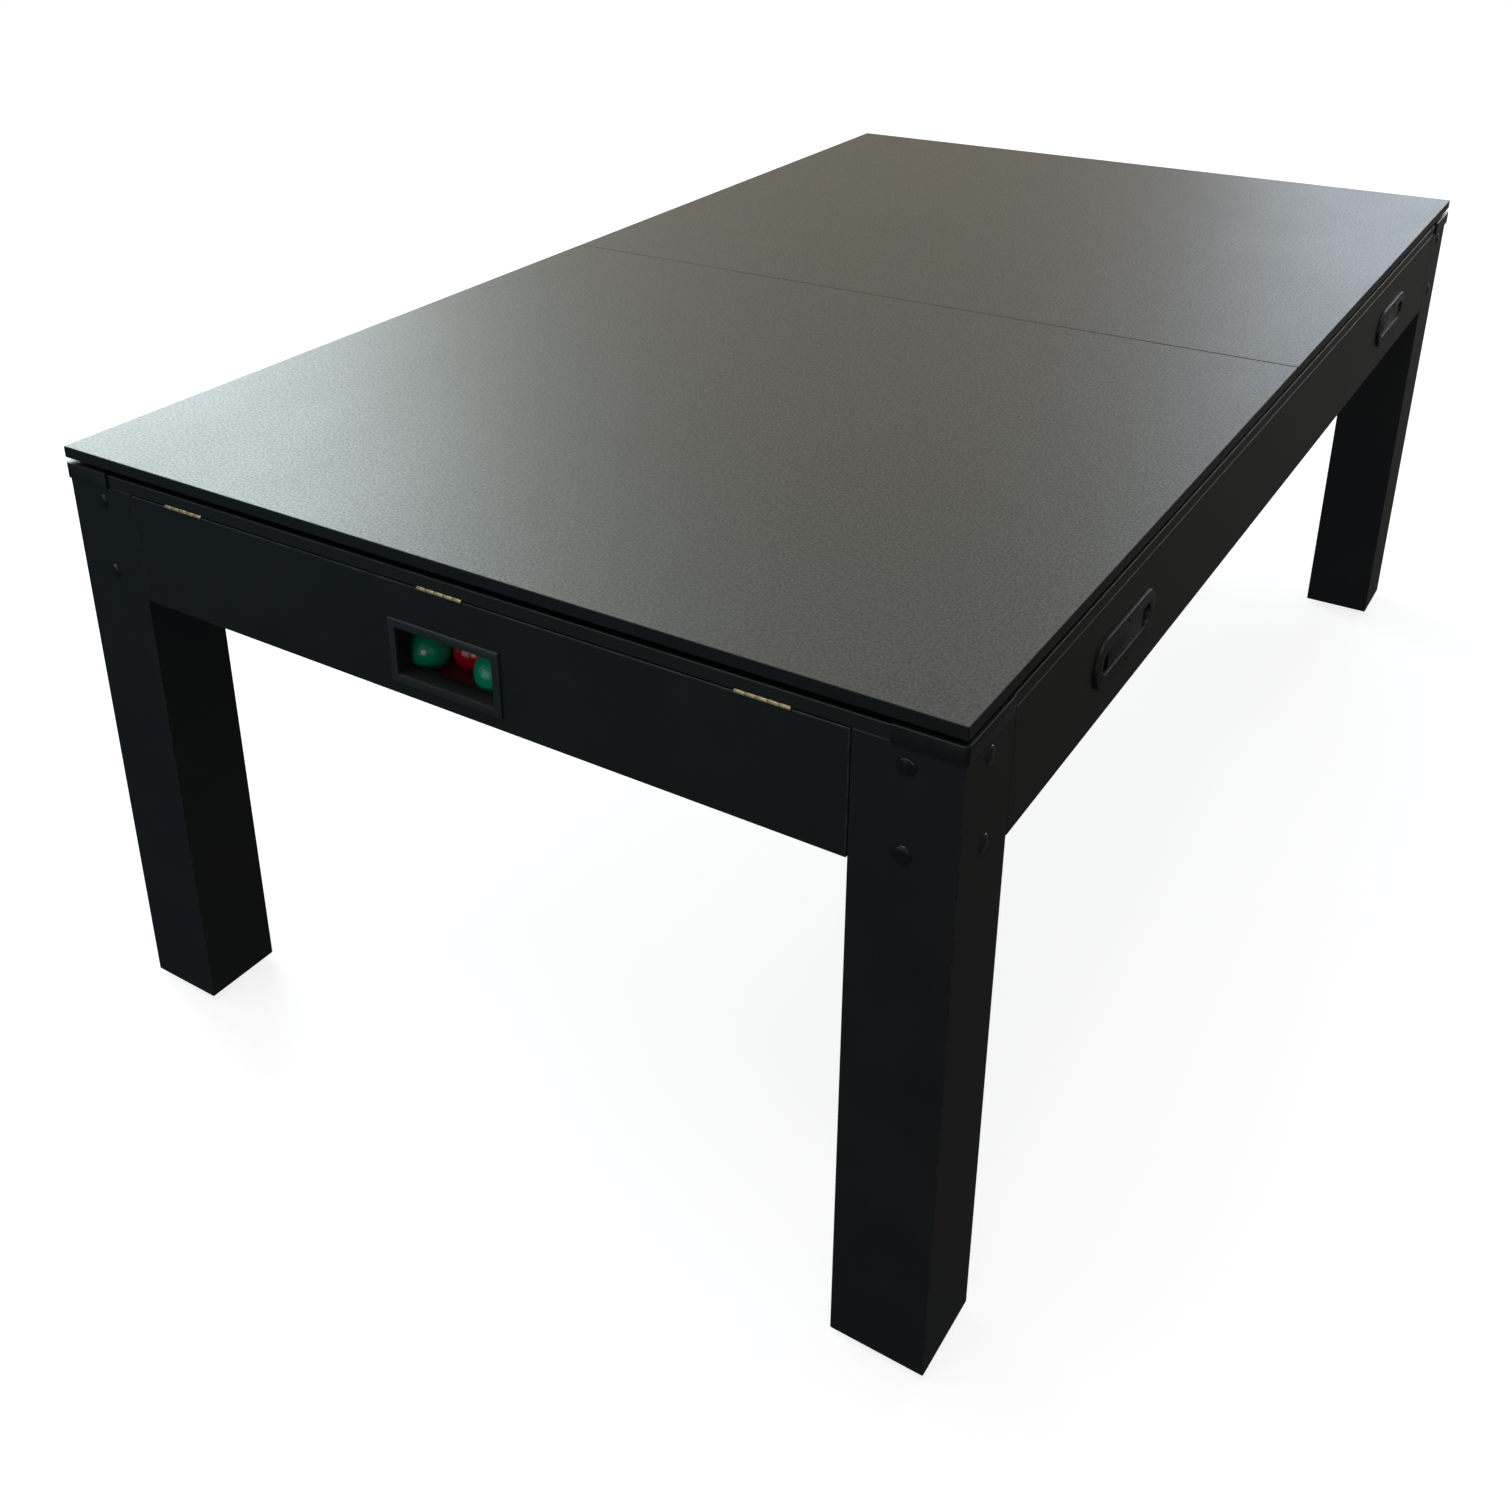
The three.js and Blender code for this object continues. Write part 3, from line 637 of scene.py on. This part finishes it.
def rim_tree():
    """A rolled rim along an arc, on each point, turned about Z by the point's turn attribute."""
    inputs = (("Radius", "Float"), ("Half Width", "Float"), ("Start", "Float"), ("Sweep", "Float"))
    tree, nodes, given = open_tree("pocket_rims", inputs)
    arc = nodes.add(
        "GeometryNodeCurveArc",
        values={
            "Resolution": 56,
            "Radius": given["Radius"],
            "Start Angle": given["Start"],
            "Sweep Angle": given["Sweep"],
        },
    )
    section = nodes.add(
        "GeometryNodeCurvePrimitiveCircle", values={"Resolution": 14, "Radius": given["Half Width"]}
    )
    rim = nodes.add(
        "GeometryNodeCurveToMesh", values={"Curve": arc, "Profile Curve": section, "Fill Caps": True}
    )
    smooth = nodes.add("GeometryNodeSetShadeSmooth", values={"Geometry": rim, "Shade Smooth": True})
    turn = nodes.add("GeometryNodeInputNamedAttribute", {"data_type": "FLOAT"}, {"Name": "turn"})
    euler = nodes.add("ShaderNodeCombineXYZ", values={2: turn})
    rotation = nodes.add("FunctionNodeEulerToRotation", values={"Euler": euler})
    points = nodes.add(
        "GeometryNodeInstanceOnPoints",
        values={"Points": given["Geometry"], "Instance": smooth, "Rotation": rotation},
    )
    close_tree(nodes, points, given)
    return tree


def grow(name, tree, points, attribute, kind, values, **inputs):
    """Runs a tree on points that carry one attribute, and returns the result as a plain mesh object."""
    seeds = bpy.data.meshes.new(f"{name}_points")
    seeds.from_pydata([tuple(p) for p in points], [], [])
    data = seeds.attributes.new(attribute, kind, "POINT").data
    for item, value in zip(data, values):
        if kind == "FLOAT":
            item.value = value
        else:
            item.vector = value
    holder = new_object(f"{name}_holder", seeds)
    modifier = holder.modifiers.new("Grow", "NODES")
    modifier.node_group = tree
    for item in tree.interface.items_tree:
        key = item.name.replace(" ", "_")
        if item.in_out == "INPUT" and key in inputs:
            modifier[item.identifier] = inputs[key]
    evaluated = holder.evaluated_get(bpy.context.evaluated_depsgraph_get())
    mesh = bpy.data.meshes.new_from_object(evaluated)
    mesh.name = name
    holder.modifiers.remove(modifier)
    bpy.data.objects.remove(holder)
    if not mesh.polygons:
        raise RuntimeError(f"{name} came out empty")
    return new_object(name, mesh)


# ---- Operators -----------------------------------------------------------------------------------


class PieceOperator:
    """What every operator here shares."""

    bl_options = {"REGISTER", "UNDO"}

    def colours(self, context):
        return context.scene.pool_table_colours

    def sizes(self, context):
        return context.scene.pool_table_sizes


class POOLTABLE_OT_stage(PieceOperator, bpy.types.Operator):
    """Makes the pale floor, the soft lights and the camera"""

    bl_idname = "pool_table.stage"
    bl_label = "Stage"

    def execute(self, context):
        stage = context.scene.pool_table_stage
        self.floor(stage)
        self.world(context)
        self.lights(stage)
        self.camera(context, stage)
        context.scene.view_settings.view_transform = "Standard"
        return {"FINISHED"}

    def floor(self, stage):
        """A white floor that keeps a soft shadow, lights nothing, and can't be seen from below."""
        shape = bmesh.new()
        bmesh.ops.create_grid(shape, x_segments=1, y_segments=1, size=stage.floor_size / 2)
        material, nodes = start_material("stage_floor")
        white = (1.0, 1.0, 1.0, 1.0)
        glow = nodes.add("ShaderNodeEmission", values={"Color": white, "Strength": stage.floor_glow})
        albedo = (stage.floor_albedo, stage.floor_albedo, stage.floor_albedo, 1.0)
        matt = nodes.add("ShaderNodeBsdfDiffuse", values={"Color": albedo})
        both = nodes.add("ShaderNodeAddShader", values={0: glow, 1: matt})
        clear = nodes.add("ShaderNodeBsdfTransparent")
        below = nodes.add("ShaderNodeNewGeometry", output="Backfacing")
        mixed = nodes.add("ShaderNodeMixShader", values={0: below, 1: both, 2: clear})
        nodes.add("ShaderNodeOutputMaterial", values={"Surface": mixed})
        floor = from_bmesh("stage_floor", shape, material, smooth=False)
        floor.visible_diffuse = False
        floor.visible_glossy = False
        floor.location.z = -0.0005

    def world(self, context):
        """White to the camera; to the table, a dim room that is darker below than above."""
        world = bpy.data.worlds.new("studio")
        context.scene.world = world
        world.use_nodes = True
        nodes = Nodes(world.node_tree)
        across, along, up = nodes.parts(nodes.add("ShaderNodeTexCoord", output="Generated"))
        walls = nodes.blend(along.step(-0.3, 0.5), (0.20, 0.20, 0.19), (0.76, 0.57, 0.33))
        above = nodes.blend(up.step(0.22, 0.62), walls, (0.13, 0.14, 0.14))
        ahead = along.step(0.35, 0.6) * (1.0 - across.step(0.35, 0.6))
        ground = nodes.blend(up.step(-0.60, -0.15), (0.052, 0.052, 0.048), (0.140, 0.140, 0.138))
        below = nodes.blend(ahead, (0.034, 0.050, 0.062), ground)
        room = nodes.blend(up.step(-0.10, 0.12), below, above)
        dim = nodes.add("ShaderNodeBackground", values={"Color": room, "Strength": 1.0})
        white = nodes.add("ShaderNodeBackground", values={"Color": (1.0, 1.0, 1.0, 1.0), "Strength": 1.0})
        seen = nodes.add("ShaderNodeLightPath", output="Is Camera Ray")
        mixed = nodes.add("ShaderNodeMixShader", values={0: seen, 1: dim, 2: white})
        nodes.add("ShaderNodeOutputWorld", values={"Surface": mixed})

    def lights(self, stage):
        overhead = bpy.data.lights.new("overhead", "SUN")
        overhead.energy = stage.overhead
        overhead.angle = math.radians(50.0)
        above = new_object("overhead", overhead)
        above.rotation_euler = (math.radians(6.0), math.radians(-8.0), 0.0)
        low, high = CAD_BOX
        near_corner = (low.x, low.y, high.z)
        self.panel("window_light", (-5.2, 1.5, 3.7), near_corner, (4.0, 3.6), 430.0, (0.82, 0.97, 1.0))
        self.panel("far_light", (0.75, 6.3, 2.9), high, (3.6, 3.6), 165.0, (0.70, 0.84, 1.0))
        self.panel("front_light", (-2.2, -5.8, 1.3), (-0.2, low.y, 0.5), (4.0, 3.0), 31.0, (0.46, 0.92, 1.0))
        self.panel("near_light", (1.5, -5.2, 1.1), (high.x, low.y, 0.6), (1.6, 1.6), 15.0, (1.0, 0.76, 0.60))

    def panel(self, name, place, target, size, energy, tint):
        light = bpy.data.lights.new(name, "AREA")
        light.shape = "RECTANGLE"
        light.size, light.size_y = size
        light.energy = energy
        light.color = tint
        made = new_object(name, light)
        made.location = place
        made.rotation_euler = (Vector(target) - Vector(place)).to_track_quat("-Z", "Y").to_euler()

    def camera(self, context, stage):
        data = bpy.data.cameras.new("camera")
        data.sensor_width = 36.0
        data.lens = stage.lens
        data.shift_x = 0.0522
        data.shift_y = -0.1669
        camera = new_object("camera", data)
        camera.location = (1.0578, -2.1936, 1.5720)
        camera.rotation_euler = [math.radians(turn) for turn in (65.56, 0.762, 33.43)]
        context.scene.camera = camera


class POOLTABLE_OT_dining_top(PieceOperator, bpy.types.Operator):
    """Finishes the two halves of the dining top and their felt strips"""

    bl_idname = "pool_table.dining_top"
    bl_label = "Dining top"

    def execute(self, context):
        colours, sizes = self.colours(context), self.sizes(context)
        face = top_melamine(colours)
        felt = fuzzy("black_felt", colours.felt, sheen=0.2)
        for end in ENDS:
            refine(f"top_panel_{end}", face, sizes.round_board, smooth=False)
            refine(f"top_pad_{end}", felt, width=0.0015, segments=3)
        return {"FINISHED"}


class POOLTABLE_OT_body(PieceOperator, bpy.types.Operator):
    """Finishes the rails, aprons, end panel, flap, cross boards and legs"""

    bl_idname = "pool_table.body"
    bl_label = "Body"

    def execute(self, context):
        colours, sizes = self.colours(context), self.sizes(context)
        boards = [f"rail_{place}" for place in (*ENDS, *SIDES)]
        boards += [f"side_apron_{side}" for side in SIDES]
        boards += [f"leg_{corner}" for corner in CORNERS]
        boards += ["end_panel_far", "end_flap"]
        for node in boards:
            piece = refine(node, body_melamine(colours, node), sizes.round_board, smooth=False)
            if node == "end_flap":
                self.close_gap(piece, *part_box(node), sizes.flap_gap)
        for end in ENDS:
            node = f"cross_board_{end}"
            paint(node, body_melamine(colours, node))
        return {"FINISHED"}

    def close_gap(self, piece, low, high, gap):
        """Widens and raises the flap a little, so that only a hairline shows round it."""
        side_band = 0.002
        top_band = 0.001
        for vert in piece.data.vertices:
            if min(vert.co.x - low.x, high.x - vert.co.x) < side_band:
                vert.co.x += math.copysign(gap, vert.co.x)
            if high.z - vert.co.z < top_band:
                vert.co.z += gap


class POOLTABLE_OT_corner_guards(PieceOperator, bpy.types.Operator):
    """Makes the moulded guards on the rail corners"""

    bl_idname = "pool_table.corner_guards"
    bl_label = "Corner guards"

    def execute(self, context):
        finish = moulded("guard_plastic", self.colours(context).plastic, roughness=0.34)
        for corner in CORNERS:
            refine(f"corner_guard_{corner}", finish, self.sizes(context).round_moulding, segments=3)
        return {"FINISHED"}


class POOLTABLE_OT_bolt_caps(PieceOperator, bpy.types.Operator):
    """Makes the domed caps over the leg bolts"""

    bl_idname = "pool_table.bolt_caps"
    bl_label = "Bolt caps"

    def execute(self, context):
        sizes = self.sizes(context)
        points, facings = [], []
        for corner in CORNERS:
            low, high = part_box(f"leg_{corner}")
            middle = (low + high) / 2
            outward = Vector((math.copysign(1.0, middle.x), math.copysign(1.0, middle.y)))
            face_x = high.x if outward.x > 0 else low.x
            face_y = high.y if outward.y > 0 else low.y
            for height in (sizes.cap_upper, sizes.cap_lower):
                points += [(middle.x, face_y, height), (face_x, middle.y, height)]
                facings += [(0.0, outward.y, 0.0), (outward.x, 0.0, 0.0)]
        finish = moulded("cap_plastic", self.colours(context).plastic, roughness=0.20)
        caps = grow(
            "bolt_caps", cap_tree(), points, "facing", "FLOAT_VECTOR", facings,
            Radius=sizes.cap_radius, Height=sizes.cap_height, Brim=0.0008, Finish=finish,
        )
        settle(caps, "root", "black_plastic")
        return {"FINISHED"}


class POOLTABLE_OT_handles(PieceOperator, bpy.types.Operator):
    """Makes the flush handles on the long sides, with their grips and screws"""

    bl_idname = "pool_table.handles"
    bl_label = "Handles"

    def execute(self, context):
        colours, sizes = self.colours(context), self.sizes(context)
        plastic = moulded("handle_plastic", colours.plastic, roughness=0.42)
        metal = lacquered(colours)
        sunk = 0.0006
        points, facings = [], []
        for side in SIDES:
            for end in ENDS:
                plate = f"handle_plate_{side}_{end}"
                refine(plate, plastic, width=0.0007, segments=3)
                refine(f"handle_grip_{side}_{end}", metal, width=0.0005, segments=3)
                low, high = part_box(plate)
                out = 1.0 if side == "right" else -1.0
                face = high.x if out > 0 else low.x
                centre = (low + high) / 2
                rise = (high.z - low.z) * 0.39
                points += [(face - out * sunk, centre.y, centre.z + way * rise) for way in (-1, 1)]
                facings += [(out, 0.0, 0.0)] * 2
        screws = grow(
            "handle_screws", screw_tree(), points, "facing", "FLOAT_VECTOR", facings,
            Radius=sizes.screw_radius, Height=0.0016, Finish=metal,
        )
        settle(screws, "root", "dark_metal")
        return {"FINISHED"}


class POOLTABLE_OT_hinges(PieceOperator, bpy.types.Operator):
    """Makes the three butt hinges of the end flap, with the screws in their leaves"""

    bl_idname = "pool_table.hinges"
    bl_label = "Hinges"

    def execute(self, context):
        brass = dull_brass(self.colours(context))
        sizes = self.sizes(context)
        tree = screw_tree()
        sunk = 0.0006
        for part, body, way in (("fixed", "root", -1.0), ("leaf", "end_flap", 1.0)):
            points = []
            for place in PLACES:
                node = f"hinge_{part}_{place}"
                made = refine(node, brass, width=0.00025)
                self.slim_knuckles(made, node, sizes.knuckle_slim)
                low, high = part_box(node)
                back = high.y - (high.y - low.y) * 0.32
                level = self.leaf_face(node, way)
                reach = (high.x - low.x) * 0.36
                middle = (low.x + high.x) / 2
                points += [(middle + k * reach, back, level - way * sunk) for k in (-1, 0, 1)]
            facings = [(0.0, 0.0, way)] * len(points)
            screws = grow(
                f"hinge_screws_{part}", tree, points, "facing", "FLOAT_VECTOR", facings,
                Radius=sizes.hinge_screw_radius, Height=0.0008, Finish=brass,
            )
            settle(screws, body, "brass")
        return {"FINISHED"}

    def slim_knuckles(self, piece, node, slim):
        """Draws the knuckles in evenly round the pin, to the thinner barrel of a small butt hinge."""
        pin = Vector(next(j["pos_m"] for j in frame["joints"] if j["name"] == "end_flap_hinge"))
        allowance = 0.00005
        radius = pin.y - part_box(node)[0].y + allowance
        for vert in piece.data.vertices:
            outward = Vector((0.0, vert.co.y - pin.y, vert.co.z - pin.z))
            if outward.length < radius:
                vert.co -= outward * slim

    def leaf_face(self, node, way):
        """Height of the leaf's open face, away from the knuckles."""
        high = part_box(node)[1]
        edge_band = 0.001
        back = [v.co.z for v in frame["nodes"][node].data.vertices if v.co.y > high.y - edge_band]
        return max(back) if way > 0 else min(back)


class POOLTABLE_OT_window(PieceOperator, bpy.types.Operator):
    """Makes the window frame in the end flap"""

    bl_idname = "pool_table.window"
    bl_label = "Window"

    def execute(self, context):
        colours = self.colours(context)
        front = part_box("end_flap")[0].y
        refine("window_frame", window_plastic(colours, front), width=0.0005, segments=3)
        return {"FINISHED"}


class POOLTABLE_OT_balls(PieceOperator, bpy.types.Operator):
    """Makes the balls that lie in the trough"""

    bl_idname = "pool_table.balls"
    bl_label = "Balls"

    def execute(self, context):
        colours = self.colours(context)
        green = polished_ball("green_resin", colours.ball_green)
        red = polished_ball("red_resin", colours.ball_red)
        for node in ("ball_green_left", "ball_red", "ball_green_right"):
            low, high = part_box(node)
            shape = bmesh.new()
            bmesh.ops.create_icosphere(
                shape,
                subdivisions=self.sizes(context).ball_steps,
                radius=(high.z - low.z) / 2,
                matrix=Matrix.Translation((low + high) / 2),
            )
            piece = from_bmesh(f"{node}_made", shape, red if node == "ball_red" else green)
            settle(piece, "root", slot_of(node), node)
        return {"FINISHED"}


class POOLTABLE_OT_trough(PieceOperator, bpy.types.Operator):
    """Finishes the trough and lays its red mat"""

    bl_idname = "pool_table.trough"
    bl_label = "Trough"

    def execute(self, context):
        colours, sizes = self.colours(context), self.sizes(context)
        plastic = moulded("trough_plastic", colours.plastic, roughness=0.42)
        refine("ball_trough", plastic, width=0.0006)
        balls = [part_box(node) for node in ("ball_red", "ball_green_right")]
        under_ball = 0.0003
        to_the_left = 0.013
        clearance = 0.0001
        floor = min(low.z for low, high in balls) - under_ball
        centre_x = sum((low.x + high.x) / 2 for low, high in balls) / 2 - to_the_left
        centre_y = sum((low.y + high.y) / 2 for low, high in balls) / 2
        shape = bmesh.new()
        bmesh.ops.create_grid(
            shape,
            x_segments=27,
            y_segments=12,
            size=0.5,
            matrix=Matrix.Translation((centre_x, centre_y, floor + clearance))
            @ Matrix.Diagonal((sizes.mat_wide, sizes.mat_deep, 1.0, 1.0)),
        )
        mat = from_bmesh("trough_mat", shape, fuzzy("red_felt", colours.mat, sheen=0.3))
        thick = mat.modifiers.new("Thickness", "SOLIDIFY")
        thick.thickness = 0.0002
        thick.offset = 1.0
        settle(mat, "root", "felt")
        return {"FINISHED"}


class POOLTABLE_OT_playing_field(PieceOperator, bpy.types.Operator):
    """Makes the bed's cloth and the covered cushions, and finishes the bed board"""

    bl_idname = "pool_table.playing_field"
    bl_label = "Playing field"

    def execute(self, context):
        colours, sizes = self.colours(context), self.sizes(context)
        cloth = playing_cloth(colours)
        paint("bed_board", bare_board(colours))
        cushions = [f"cushion_{end}" for end in ENDS]
        cushions += [f"cushion_{side}_{end}" for side in SIDES for end in ENDS]
        for node in cushions:
            refine(node, cloth, width=0.0012, segments=3, angle=18.0)
        self.bed_cloth(cloth, sizes.cloth_thick)
        return {"FINISHED"}

    def bed_cloth(self, cloth, thick):
        """One piece of cloth stretched over the bed, cut away at the pockets."""
        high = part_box("bed_board")[1]
        margin = 0.013
        half = Vector((high.x - margin, high.y - margin))
        level = high.z + 0.0002
        slack = 0.0005
        steps = 48
        shape = bmesh.new()
        corners = [(half.x, half.y), (-half.x, half.y), (-half.x, -half.y), (half.x, -half.y)]
        loops = [corners]
        for pocket in POCKETS:
            a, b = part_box(f"pocket_{pocket}")
            centre = (a + b) / 2
            radius = (b.x - a.x) / 2 + slack
            turns = [2 * math.pi * k / steps for k in range(steps)]
            loops.append([(centre.x + radius * math.cos(t), centre.y + radius * math.sin(t)) for t in turns])
        for loop in loops:
            verts = [shape.verts.new((x, y, level)) for x, y in loop]
            for k, vert in enumerate(verts):
                shape.edges.new((vert, verts[(k + 1) % len(verts)]))
        bmesh.ops.triangle_fill(shape, use_beauty=True, use_dissolve=False, edges=shape.edges[:])
        bmesh.ops.recalc_face_normals(shape, faces=shape.faces[:])
        if sum(face.normal.z for face in shape.faces) < 0:
            bmesh.ops.reverse_faces(shape, faces=shape.faces[:])
        area = sum(face.calc_area() for face in shape.faces)
        piece = from_bmesh("bed_cloth", shape, cloth, smooth=False)
        body = piece.modifiers.new("Thickness", "SOLIDIFY")
        body.thickness = thick
        body.offset = 1.0
        settle(piece, "root", "cloth")


class POOLTABLE_OT_pockets(PieceOperator, bpy.types.Operator):
    """Makes the pocket liners and their rolled rims"""

    bl_idname = "pool_table.pockets"
    bl_label = "Pockets"

    def execute(self, context):
        colours, sizes = self.colours(context), self.sizes(context)
        plastic = moulded("liner_plastic", colours.plastic, roughness=0.38)
        points, turns = [], []
        mouth = math.radians(9.0)
        sunk = 0.0008
        inset = 0.0029
        for pocket in POCKETS:
            node = f"pocket_{pocket}"
            refine(node, plastic, width=0.0008)
            low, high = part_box(node)
            centre = (low + high) / 2
            middle = "middle" in pocket
            out_y = 0.0 if middle else math.copysign(1.0, centre.y)
            points.append((centre.x, centre.y, high.z - sunk))
            turns.append(math.atan2(-math.copysign(1.0, centre.x), out_y))
            outer = (high.x - low.x) / 2
        rims = grow(
            "pocket_rims", rim_tree(), points, "turn", "FLOAT", turns,
            Radius=outer - inset, Half_Width=sizes.rim, Start=-mouth, Sweep=math.pi + 2 * mouth,
            Finish=plastic,
        )
        settle(rims, "root", "black_plastic")
        return {"FINISHED"}


class POOLTABLE_OT_runners(PieceOperator, bpy.types.Operator):
    """Finishes the two sloping ball runners"""

    bl_idname = "pool_table.runners"
    bl_label = "Ball runners"

    def execute(self, context):
        plastic = moulded("runner_plastic", self.colours(context).plastic, roughness=0.44)
        for side in SIDES:
            refine(f"ball_runner_{side}", plastic, width=0.0006)
        return {"FINISHED"}


class POOLTABLE_OT_feet(PieceOperator, bpy.types.Operator):
    """Makes the levelling feet"""

    bl_idname = "pool_table.feet"
    bl_label = "Levelling feet"

    def execute(self, context):
        rubber = moulded("foot_rubber", self.colours(context).plastic, roughness=0.55, grain_scale=900.0)
        for corner in CORNERS:
            refine(f"foot_{corner}", rubber, width=0.0004, segments=3)
        return {"FINISHED"}


OPERATORS = (
    POOLTABLE_OT_stage,
    POOLTABLE_OT_dining_top,
    POOLTABLE_OT_body,
    POOLTABLE_OT_corner_guards,
    POOLTABLE_OT_bolt_caps,
    POOLTABLE_OT_handles,
    POOLTABLE_OT_hinges,
    POOLTABLE_OT_window,
    POOLTABLE_OT_balls,
    POOLTABLE_OT_trough,
    POOLTABLE_OT_playing_field,
    POOLTABLE_OT_pockets,
    POOLTABLE_OT_runners,
    POOLTABLE_OT_feet,
)


class POOLTABLE_PT_panel(bpy.types.Panel):
    """Lists the pieces and their settings in the sidebar"""

    bl_label = "Pool Table"
    bl_space_type = "VIEW_3D"
    bl_region_type = "UI"
    bl_category = "Pool Table"

    def draw(self, context):
        for operator in OPERATORS:
            self.layout.operator(operator.bl_idname)
        scene = context.scene
        for group in (scene.pool_table_colours, scene.pool_table_sizes, scene.pool_table_stage):
            box = self.layout.box()
            for name in group.bl_rna.properties.keys():
                if name not in ("rna_type", "name"):
                    box.prop(group, name)


GROUPS = {
    "pool_table_colours": PoolTableColours,
    "pool_table_sizes": PoolTableSizes,
    "pool_table_stage": PoolTableStage,
}


def register():
    for group in (*GROUPS.values(), *OPERATORS, POOLTABLE_PT_panel):
        bpy.utils.register_class(group)
    for name, group in GROUPS.items():
        setattr(bpy.types.Scene, name, PointerProperty(type=group))


def unregister():
    for name in GROUPS:
        delattr(bpy.types.Scene, name)
    for group in reversed((*GROUPS.values(), *OPERATORS, POOLTABLE_PT_panel)):
        bpy.utils.unregister_class(group)


def main():
    register()
    for operator in OPERATORS:
        getattr(bpy.ops.pool_table, operator.bl_idname.split(".")[1])()


if __name__ == "__main__":
    main()
